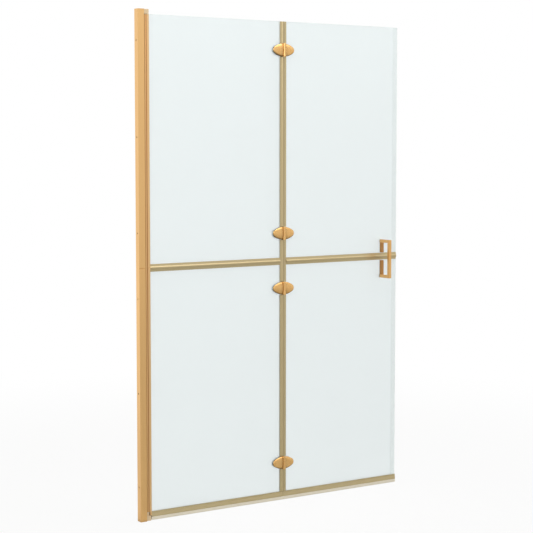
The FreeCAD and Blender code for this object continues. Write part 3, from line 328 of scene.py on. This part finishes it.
def etched_glass():
    """Toughened glass, acid etched: milky blue-white faces and clear green-tinged ground edges."""
    material, tree, place = new_material("etched_glass")
    facing = add_node(tree, "ShaderNodeTexCoord").outputs["Normal"]
    # the panes stand in the XZ plane, so only an etched face looks along Y
    sideways = add_node(tree, "ShaderNodeVectorMath", {0: facing}, operation="ABSOLUTE")
    etched = add_node(tree, "ShaderNodeSeparateXYZ", {0: sideways.outputs[0]}).outputs["Y"]
    tint = add_node(tree, "ShaderNodeMix", {
        0: etched, MIX_A: linear("#A9D3BF"), MIX_B: linear("#F1F7F7")}, data_type="RGBA")
    # the etch is finer than 0.1 mm; drawn as 9 mm clouds, as a bath leaves them
    etch = add_node(tree, "ShaderNodeTexNoise", {
        "Vector": place, "Scale": 1 / (9 * MM), "Detail": 4.0})
    milky = add_node(tree, "ShaderNodeMapRange", {
        "Value": etch.outputs[0], "To Min": 0.36, "To Max": 0.46})
    rough = add_node(tree, "ShaderNodeMapRange", {
        "Value": etched, "To Min": 0.12, "To Max": milky.outputs[0]})
    shader = add_node(tree, "ShaderNodeBsdfPrincipled", {
        "Base Color": tint.outputs[MIX_RESULT], "Roughness": rough.outputs[0],
        "Transmission Weight": 0.9, "IOR": 1.52})
    path = add_node(tree, "ShaderNodeLightPath")
    lit = add_node(tree, "ShaderNodeBsdfTransparent", {"Color": linear("#EFF5F4")})
    show(tree, add_node(tree, "ShaderNodeMixShader", {
        0: path.outputs["Is Shadow Ray"], 1: shader.outputs[0], 2: lit.outputs[0]}))
    return material


def silicone_rubber(name, dark, light):
    """Moulded silicone gasket: soft, dull and slightly dusty."""
    material, tree, place = new_material(name)
    dust = add_node(tree, "ShaderNodeTexNoise", {
        "Vector": place, "Scale": 1 / (5 * MM), "Detail": 3.0})
    colour = add_node(tree, "ShaderNodeMix", {
        0: dust.outputs[0], MIX_A: linear(dark), MIX_B: linear(light)}, data_type="RGBA")
    rough = add_node(tree, "ShaderNodeMapRange", {
        "Value": dust.outputs[0], "To Min": 0.5, "To Max": 0.7})
    show(tree, add_node(tree, "ShaderNodeBsdfPrincipled", {
        "Base Color": colour.outputs[MIX_RESULT], "Roughness": rough.outputs[0]}))
    return material


def white_nylon():
    """Moulded natural nylon: warm white, waxy, with a faint mould grain."""
    material, tree, place = new_material("white_nylon")
    grain = add_node(tree, "ShaderNodeTexNoise", {
        "Vector": place, "Scale": 1 / (0.8 * MM), "Detail": 2.0})
    colour = add_node(tree, "ShaderNodeMix", {
        0: grain.outputs[0], MIX_A: linear("#DEDBD0"), MIX_B: linear("#EDEBE2")}, data_type="RGBA")
    rough = add_node(tree, "ShaderNodeMapRange", {
        "Value": grain.outputs[0], "To Min": 0.4, "To Max": 0.55})
    show(tree, add_node(tree, "ShaderNodeBsdfPrincipled", {
        "Base Color": colour.outputs[MIX_RESULT], "Roughness": rough.outputs[0]}))
    return material


finish_of_slot = {
    "gold_profile": gold_anodised_aluminium("gold_anodised_aluminium", "#D9AE73", "#E3B77C"),
    "gold_block": gold_moulded_nylon(),
    "gold_fitting": gold_plated_zinc(),
    "gold_screw": gold_plated_steel(),
    "steel_pin": turned_stainless_steel(),
    "champagne_strip": champagne_pvc("champagne_pvc_along", 0),
    "clear_seal": soft_pvc(),
    "frosted_glass": etched_glass(),
    "gasket": silicone_rubber("grey_silicone", "#A9A8A1", "#C2C1BA"),
    "nylon": white_nylon(),
}
upright_pvc = champagne_pvc("champagne_pvc_upright", 2)
# the profiles in the groove are painted copies of the gold: paler and less red against the red light of gold
# lit by gold, and darker on the carriers as painted shade in the groove
pale_gold = gold_anodised_aluminium("pale_gold_anodised_aluminium", "#D8B07C", "#E2BA88", "#C9A26C")
shaded_gold = gold_anodised_aluminium("dull_gold_anodised_aluminium", "#B7915A", "#C39D66", "#C9A26C")
hinge_silicone = silicone_rubber("white_silicone", "#E2E6E5", "#EFF2F1")
guard_pvc = clear_pvc()
finish_of_node = {
    "carrier_lower": shaded_gold,
    "carrier_upper": shaded_gold,
    "pivot_profile_lower": pale_gold,
    "pivot_profile_upper": pale_gold,
    "channel_splice": mill_aluminium(),
    "pivot_dowel": mill_aluminium(),
    "inner_fold_seal": upright_pvc,
    "outer_fold_seal": upright_pvc,
    "inner_hinge_gaskets": hinge_silicone,
    "outer_hinge_gaskets": hinge_silicone,
    "edge_guard_lower": guard_pvc,
    "edge_guard_upper": guard_pvc,
    "handle": gold_plated_brass(),
}
for node_name, node_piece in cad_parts.items():
    for coat in node_piece.material_slots:
        slot_name = coat.material.name.split(".")[0]
        coat.material = finish_of_node.get(node_name) or finish_of_slot[slot_name]


# Pieces that stand for CAD nodes


def merged_copy(node):
    """A copy of a CAD node's mesh with its loose triangles joined."""
    shape = bmesh.new()
    shape.from_mesh(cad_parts[node].data)
    bmesh.ops.remove_doubles(shape, verts=shape.verts[:], dist=SPECK)
    return shape


def put_in_place(shape, name, node, leaf, slot):
    """Makes a bmesh a piece that stands for a CAD node, on its leaf and in its finish."""
    body = "%s_leaf" % leaf
    mesh = bpy.data.meshes.new(name)
    shape.to_mesh(mesh)
    shape.free()
    # a copy of a CAD mesh brings the shading of the old faces with it
    if mesh.has_custom_normals:
        mesh.attributes.remove(mesh.attributes["custom_normal"])
    piece = bpy.data.objects.new(name, mesh)
    piece.data.materials.append(finish_of_node.get(node) or finish_of_slot[slot])
    bpy.context.scene.collection.objects.link(piece)
    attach(piece, body)
    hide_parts(node)
    return piece


def shade_round(piece):
    """Shades curved faces as one surface, up to their creases."""
    piece.data.shade_smooth()
    piece.data.set_sharp_from_angle(angle=CREASE)


def push(shape, faces, way):
    """Pushes faces out of a shape, with walls behind them; returns the faces at their new place."""
    made = bmesh.ops.extrude_face_region(shape, geom=faces)["geom"]
    bmesh.ops.delete(shape, geom=faces, context="FACES")
    bmesh.ops.translate(shape, verts=[v for v in made if isinstance(v, bmesh.types.BMVert)], vec=way)
    return [f for f in made if isinstance(f, bmesh.types.BMFace)]


def glass_panes(leaf):
    """Copies of a leaf's panes, a hair thinner, so that light gets to the parts that lie on them."""
    hair = 0.05 * MM
    for node in ("%s_glass_lower" % leaf, "%s_glass_upper" % leaf):
        pane = merged_copy(node)
        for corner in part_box(node):
            flush = [v for v in pane.verts if abs(v.co.y - corner[1]) < SPECK]
            bmesh.ops.translate(pane, verts=flush, vec=(0.0, -math.copysign(hair, corner[1]), 0.0))
        put_in_place(pane, node + "_sheet", node, leaf, "frosted_glass").data.shade_flat()


def hinge_plates(leaf):
    """Copies of a leaf's hinge plates whose flat fronts sink towards the rim, as shallow domes."""
    nodes = ["hinge_%d_%s_plate" % (number, leaf) for number in HINGES]
    (left, _, low), (right, _, high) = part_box(nodes[0])
    half_gap = (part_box("outer_glass_upper")[0][0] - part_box("inner_glass_upper")[1][0]) / 2
    reach = max(FOLD_X - left, right - FOLD_X)
    rise, middle = (high - low) / 2, (high + low) / 2
    dome, rim, rows = 3.0 * MM, 5.5 * MM, 20
    plate = merged_copy(nodes[0])
    front = min(v.co.y for v in plate.verts if abs(v.co.x - FOLD_X) > half_gap + rim)
    # only the front and its rounded rim are cut into rows and columns
    skin = [f for f in plate.faces if all(v.co.y < front + rim + SPECK for v in f.verts)]
    parts = skin + list({e for f in skin for e in f.edges}) + list({v for f in skin for v in f.verts})
    for start, end, way in ((low, high, Vector((0, 0, 1))), (left, right, Vector((1, 0, 0)))):
        for step in range(1, rows):
            at = way * (start + (end - start) * step / rows)
            parts = bmesh.ops.bisect_plane(plate, geom=parts, dist=SPECK, plane_co=at, plane_no=way)["geom"]
    for point in plate.verts:
        across = abs(point.co.x - FOLD_X)
        # the back of the plate stays where it is, and so do the knuckles
        depth = min(1.0, max(0.0, (front + rim - point.co.y) / rim))
        if across > half_gap - SPECK:
            point.co.y += depth * dome * ((across / reach) ** 2 + ((point.co.z - middle) / rise) ** 2)
    for node in nodes:
        copy = plate.copy()
        bmesh.ops.translate(copy, verts=copy.verts[:], vec=(0.0, 0.0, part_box(node)[0][2] - low))
        shade_round(put_in_place(copy, node + "_domed", node, leaf, "gold_fitting"))
    plate.free()


def fold_seal(leaf):
    """A copy of half the fold seal whose cut ends come up to the hinges, slantwise along the plates."""
    node = "%s_fold_seal" % leaf
    slit, longest_gap = 0.2 * MM, 4.0 * MM
    rib, slant = 10 * MM, 1.9 * MM
    seal = merged_copy(node)
    for number in HINGES:
        # the inner plate carries the end knuckles
        for corner, side in zip(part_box("hinge_%d_inner_plate" % number), (-1, 1)):
            cut = [v for v in seal.verts if 0.0 < (v.co.z - corner[2]) * side < longest_gap]
            tips = [v for v in cut if abs(v.co.x - FOLD_X) > rib]
            gap = (cut[0].co.z - corner[2]) * side
            bmesh.ops.translate(seal, verts=cut, vec=(0.0, 0.0, side * (slit - gap)))
            bmesh.ops.translate(seal, verts=tips, vec=(0.0, 0.0, -side * slant))
    shade_round(put_in_place(seal, node + "_trimmed", node, leaf, "champagne_strip"))


def ripple(lip, curl_level, low):
    """Lets the free edges of the fins wander by a few tenths of a millimetre, as soft plastic does."""
    sway = 0.4 * MM
    long_wave, short_wave = 170 * MM, 61 * MM
    for point in lip.verts:
        droop = max(0.0, (curl_level - point.co.z) / (curl_level - low))
        turn = point.co.x * math.tau
        wave = 0.6 * math.sin(turn / long_wave) + 0.4 * math.sin(turn / short_wave)
        point.co.y += math.copysign(sway * wave * droop ** 2, point.co.y)


def sweep_lip(leaf):
    """Soft wiper under a leaf: a T head in the rail's slot, a web and two fins that curl in to the floor."""
    node = "%s_sweep_lip" % leaf
    (left, _, low), (right, half, high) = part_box(node)
    rail_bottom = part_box("%s_bottom_rail" % leaf)[0][2]
    neck = (high - rail_bottom) / 2
    wall, curl, curl_turn, curl_steps = 1.2 * MM, 7.0 * MM, math.radians(34), 5
    slack = wall / 9
    curl_level = low + curl * math.sin(curl_turn)
    # short enough for the ripple to bend the fins
    lengths = 60
    lip = bmesh.new()
    stem = lip.verts.new((left, neck, rail_bottom))
    corner = lip.verts.new((left, half, rail_bottom))
    knee = lip.verts.new((left, half, curl_level))
    lip.edges.new((stem, corner))
    lip.edges.new((corner, knee))
    bmesh.ops.spin(
        lip, geom=[knee], cent=(left, half - curl, curl_level), axis=(1.0, 0.0, 0.0),
        angle=-curl_turn, steps=curl_steps)
    bmesh.ops.mirror(lip, geom=lip.verts[:] + lip.edges[:], axis="Y", merge_dist=wall / 100)
    lip.edges.new([v for v in lip.verts if v.co.z > rail_bottom - wall and abs(v.co.y) < half - wall])
    swept = bmesh.ops.extrude_edge_only(lip, edges=lip.edges[:])["geom"]
    moved = [v for v in swept if isinstance(v, bmesh.types.BMVert)]
    bmesh.ops.translate(lip, verts=moved, vec=(right - left, 0.0, 0.0))
    runs = [e for e in lip.edges if abs(e.verts[0].co.x - e.verts[1].co.x) > wall]
    bmesh.ops.subdivide_edges(lip, edges=runs, cuts=lengths - 1)
    bmesh.ops.recalc_face_normals(lip, faces=lip.faces[:])
    bmesh.ops.solidify(lip, geom=lip.faces[:], thickness=wall)
    ripple(lip, curl_level, low)
    middle = [f.calc_center_median() for f in lip.faces]
    web = [f for f, m in zip(lip.faces, middle) if m.z > rail_bottom - slack and abs(m.y) < neck]
    push(lip, push(lip, web, (0.0, 0.0, neck)), (0.0, 0.0, neck))
    lip.normal_update()
    for side in (-1, 1):
        head = [f for f in lip.faces if f.calc_center_median().z > rail_bottom + neck]
        flank = [f for f in head if f.normal.y * side > 0.9]
        push(lip, flank, (0.0, side * neck, 0.0))
    put_in_place(lip, node + "_fins", node, leaf, "clear_seal")


for make in (glass_panes, hinge_plates, fold_seal, sweep_lip):
    for leaf_name in ("inner", "outer"):
        make(leaf_name)


# Studio


def floor_finish():
    """Plain pale studio floor: white to the eye, with the object's shadow left in it."""
    material, tree, place = new_material("pale_floor")
    screen_foot, front_of_screen = (0.6, 0.0, 0.0), (0.6, -2.6, 0.0)
    path = add_node(tree, "ShaderNodeLightPath")
    from_screen = add_node(tree, "ShaderNodeVectorMath", {0: place, 1: screen_foot}, operation="DISTANCE")
    from_front = add_node(tree, "ShaderNodeVectorMath", {0: place, 1: front_of_screen}, operation="DISTANCE")
    # metal shows the floor in front of the screen as paint, and the floor behind it as white
    far_share = add_node(tree, "ShaderNodeMapRange", {
        "Value": from_front.outputs["Value"], "From Min": 2.5, "From Max": 2.85, "To Max": 0.9})
    mirrored = add_node(tree, "ShaderNodeMath", {
        0: path.outputs["Is Glossy Ray"], 1: far_share.outputs[0]}, operation="MULTIPLY")
    # a tenth of the paint stays near the screen, with the shadow in it
    fade = add_node(tree, "ShaderNodeMapRange", {
        "Value": from_screen.outputs["Value"], "From Min": 1.0, "From Max": 3.5, "To Min": 0.9},
        interpolation_type="SMOOTHSTEP")
    white_share = add_node(tree, "ShaderNodeMath", {
        0: path.outputs["Is Camera Ray"], 1: fade.outputs[0]}, operation="MULTIPLY")
    indirect = add_node(tree, "ShaderNodeMath", {
        0: path.outputs["Is Transmission Ray"], 1: mirrored.outputs[0]}, operation="MAXIMUM")
    shown = add_node(tree, "ShaderNodeMath", {
        0: white_share.outputs[0], 1: indirect.outputs[0]}, operation="MAXIMUM")
    speckle = add_node(tree, "ShaderNodeTexNoise", {"Vector": place, "Scale": 1 / (20 * MM)})
    paint = add_node(tree, "ShaderNodeMix", {
        0: speckle.outputs[0], MIX_A: linear("#D6D6D3"), MIX_B: linear("#DADAD7")}, data_type="RGBA")
    matt = add_node(tree, "ShaderNodeBsdfDiffuse", {"Color": paint.outputs[MIX_RESULT]})
    white = add_node(tree, "ShaderNodeEmission", {"Strength": 1.0})
    show(tree, add_node(tree, "ShaderNodeMixShader", {
        0: shown.outputs[0], 1: matt.outputs[0], 2: white.outputs[0]}))
    return material


def studio_floor():
    """A wide flat floor just below the screen's foot."""
    half_width, drop = 60.0, 0.2 * MM
    mesh = bpy.data.meshes.new("studio_floor")
    grid = bmesh.new()
    bmesh.ops.create_grid(grid, x_segments=1, y_segments=1, size=half_width)
    bmesh.ops.translate(grid, verts=grid.verts, vec=(0.0, 0.0, -drop))
    grid.to_mesh(mesh)
    grid.free()
    floor = bpy.data.objects.new("studio_floor", mesh)
    floor.data.materials.append(floor_finish())
    bpy.context.scene.collection.objects.link(floor)


def white_world():
    """White surroundings for the eye, metal and glass; softer as a light."""
    world = bpy.data.worlds.new("white_world")
    world.use_nodes = True
    tree = world.node_tree
    tree.nodes.clear()
    path = add_node(tree, "ShaderNodeLightPath")
    seen = add_node(tree, "ShaderNodeMath", {
        0: path.outputs["Is Camera Ray"], 1: path.outputs["Is Transmission Ray"]}, operation="MAXIMUM")
    shown = add_node(tree, "ShaderNodeMath", {
        0: seen.outputs[0], 1: path.outputs["Is Glossy Ray"]}, operation="MAXIMUM")
    soft = add_node(tree, "ShaderNodeBackground", {"Color": linear("#FFFFFF"), "Strength": 0.5})
    white = add_node(tree, "ShaderNodeBackground", {"Color": linear("#FFFFFF"), "Strength": 1.0})
    mixed = add_node(tree, "ShaderNodeMixShader", {
        0: shown.outputs[0], 1: soft.outputs[0], 2: white.outputs[0]})
    add_node(tree, "ShaderNodeOutputWorld", {"Surface": mixed.outputs[0]})
    bpy.context.scene.world = world


def softbox(name, place, aim, width, height, watts):
    """A soft area lamp turned towards a point."""
    lamp = bpy.data.lights.new(name, "AREA")
    lamp.shape = "RECTANGLE"
    lamp.size, lamp.size_y = width, height
    lamp.energy = watts
    rig = bpy.data.objects.new(name, lamp)
    rig.location = place
    rig.rotation_mode = "QUATERNION"
    rig.rotation_quaternion = (Vector(aim) - Vector(place)).to_track_quat("-Z", "Y")
    # the etched glass shows the plain surroundings, not a glow of the lamps behind it
    rig.visible_transmission = False
    rig.visible_camera = False
    bpy.context.scene.collection.objects.link(rig)


def studio_camera():
    """The photograph's view: from the wall side, at chest height, looking slightly down."""
    lens = bpy.data.cameras.new("studio_camera")
    lens.sensor_width = 36.0
    lens.lens = 97.40
    lens.shift_y = -0.02
    lens.clip_end = 200.0
    camera = bpy.data.objects.new("studio_camera", lens)
    camera.location = (-2.4672, -4.7155, 1.4027)
    pitch, yaw = math.radians(4.375), math.radians(32.742)
    camera.rotation_euler = (math.pi / 2 - pitch, 0.0, -yaw)
    bpy.context.scene.collection.objects.link(camera)
    bpy.context.scene.camera = camera


studio_floor()
white_world()
screen_middle, profile_foot = (0.6, 0.0, 0.95), (0.0, 0.0, 0.4)
softbox("front_softbox", (3.0, -3.8, 4.2), screen_middle, 3.2, 1.4, 34.0)
softbox("left_softbox", (-3.0, -2.2, 2.8), screen_middle, 1.8, 1.8, 50.0)
softbox("wall_softbox", (-2.0, 3.6, 1.6), screen_middle, 2.2, 2.6, 5.0)
softbox("low_wall_softbox", (-0.8, 1.5, 0.4), profile_foot, 0.9, 0.8, 0.5)
softbox("right_softbox", (4.8, 0.9, 3.2), screen_middle, 2.0, 2.0, 35.0)
softbox("top_softbox", (0.6, -0.6, 4.2), screen_middle, 2.8, 1.8, 50.0)
studio_camera()
bpy.context.scene.view_settings.view_transform = "Standard"
